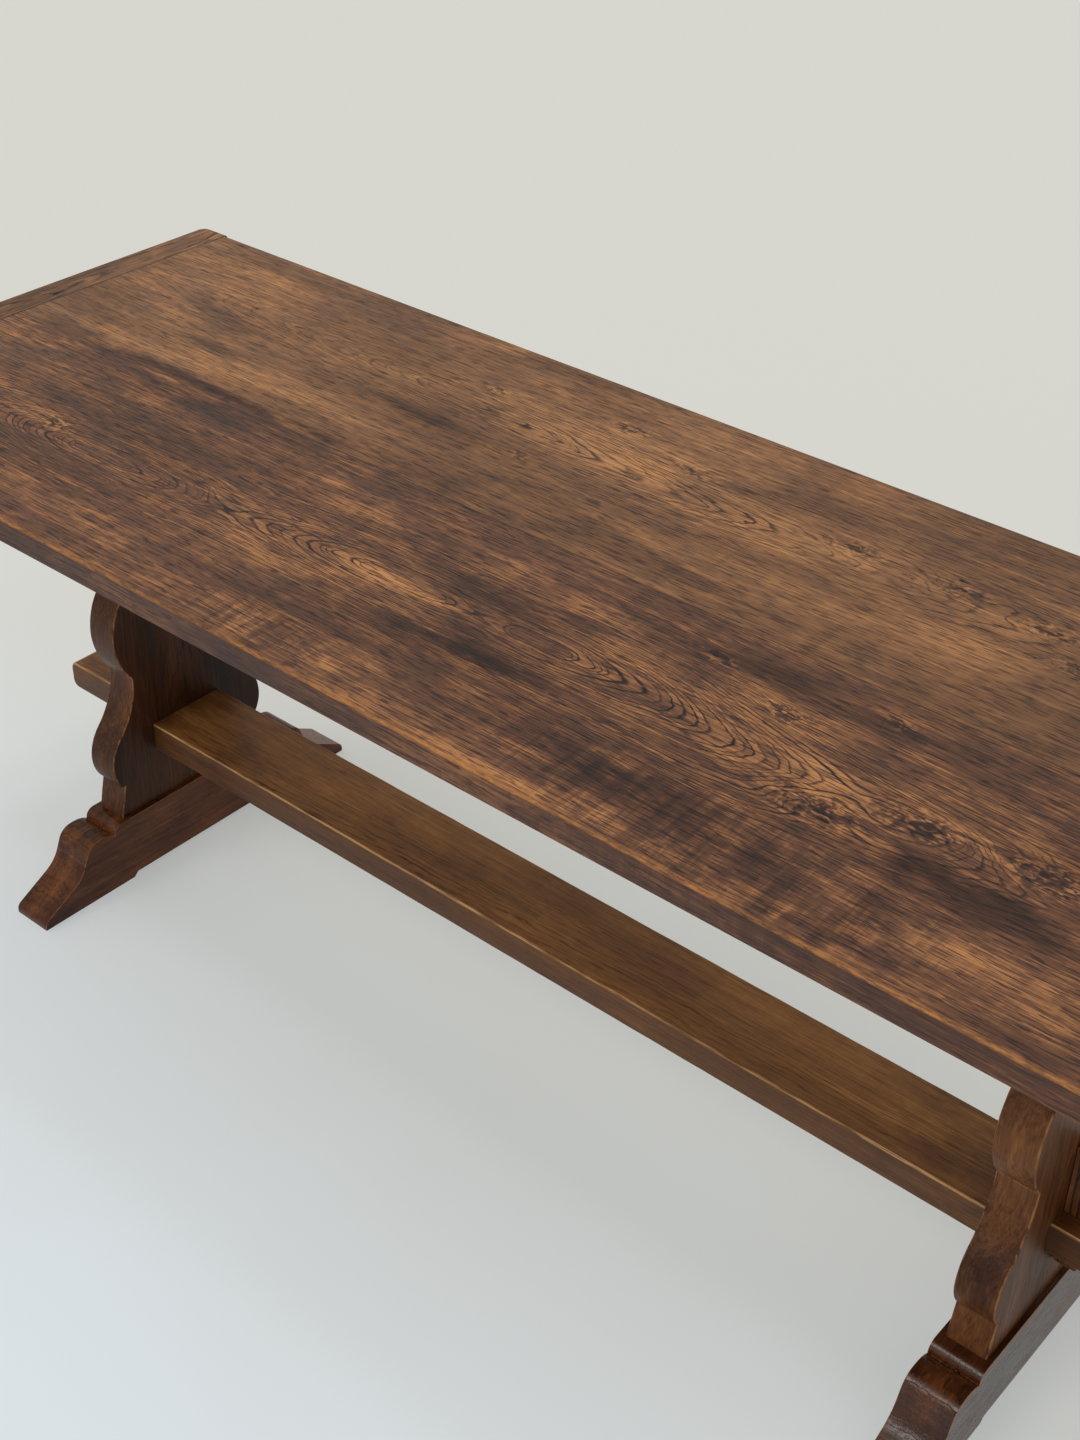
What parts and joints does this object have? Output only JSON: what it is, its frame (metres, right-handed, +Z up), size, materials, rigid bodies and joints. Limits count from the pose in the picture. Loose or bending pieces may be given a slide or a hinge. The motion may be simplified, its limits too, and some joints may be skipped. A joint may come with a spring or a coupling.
{
  "type": "refectory table",
  "caption": "Long elm trestle table: boarded top with end cleats, scrolled plank trestles on sled feet, and a flat stretcher locked by lifting tusks.",
  "frame": {"origin": "on the floor under the middle of the top", "axes": "+X along the table, towards the end on the right as seen from the front; +Y across it, to the back; +Z up"},
  "size_m": [1.99, 0.745, 0.76],
  "materials": {
    "top_board": "dark stained elm, waxed satin",
    "tongue": "bare elm",
    "cleat": "dark stained elm, waxed satin",
    "trestle": "dark stained elm, waxed satin",
    "foot": "dark stained elm, worn and waxed",
    "bearer": "dark stained elm, dull",
    "peg": "dark stained, end grain",
    "wedge": "stained, dull",
    "stretcher": "dark stained elm, worn and waxed",
    "tusk": "dark stained elm, waxed satin",
    "screw": "dull blackened steel"
  },
  "bodies": {
    "table": {"front_board": "top_board", "back_board": "top_board", "board_tongue": "tongue", "left_cleat": "cleat", "right_cleat": "cleat", "left_trestle": "trestle", "right_trestle": "trestle", "left_foot": "foot", "right_foot": "foot", "stretcher": "stretcher", "left_bearer": "bearer", "right_bearer": "bearer", "left_bearer_pegs": "peg", "right_bearer_pegs": "peg", "left_bearer_screws": "screw", "right_bearer_screws": "screw", "left_foot_wedges": "wedge", "right_foot_wedges": "wedge"},
    "left_key": {"left_tusk": "tusk"},
    "right_key": {"right_tusk": "tusk"}
  },
  "joints": [
    {"name": "left_tusk_lift", "type": "slide", "parent": "table", "child": "left_key", "axis": [0, 0, 1], "range_m": [0, 0.08]},
    {"name": "right_tusk_lift", "type": "slide", "parent": "table", "child": "right_key", "axis": [0, 0, 1], "range_m": [0, 0.08]}
  ]
}
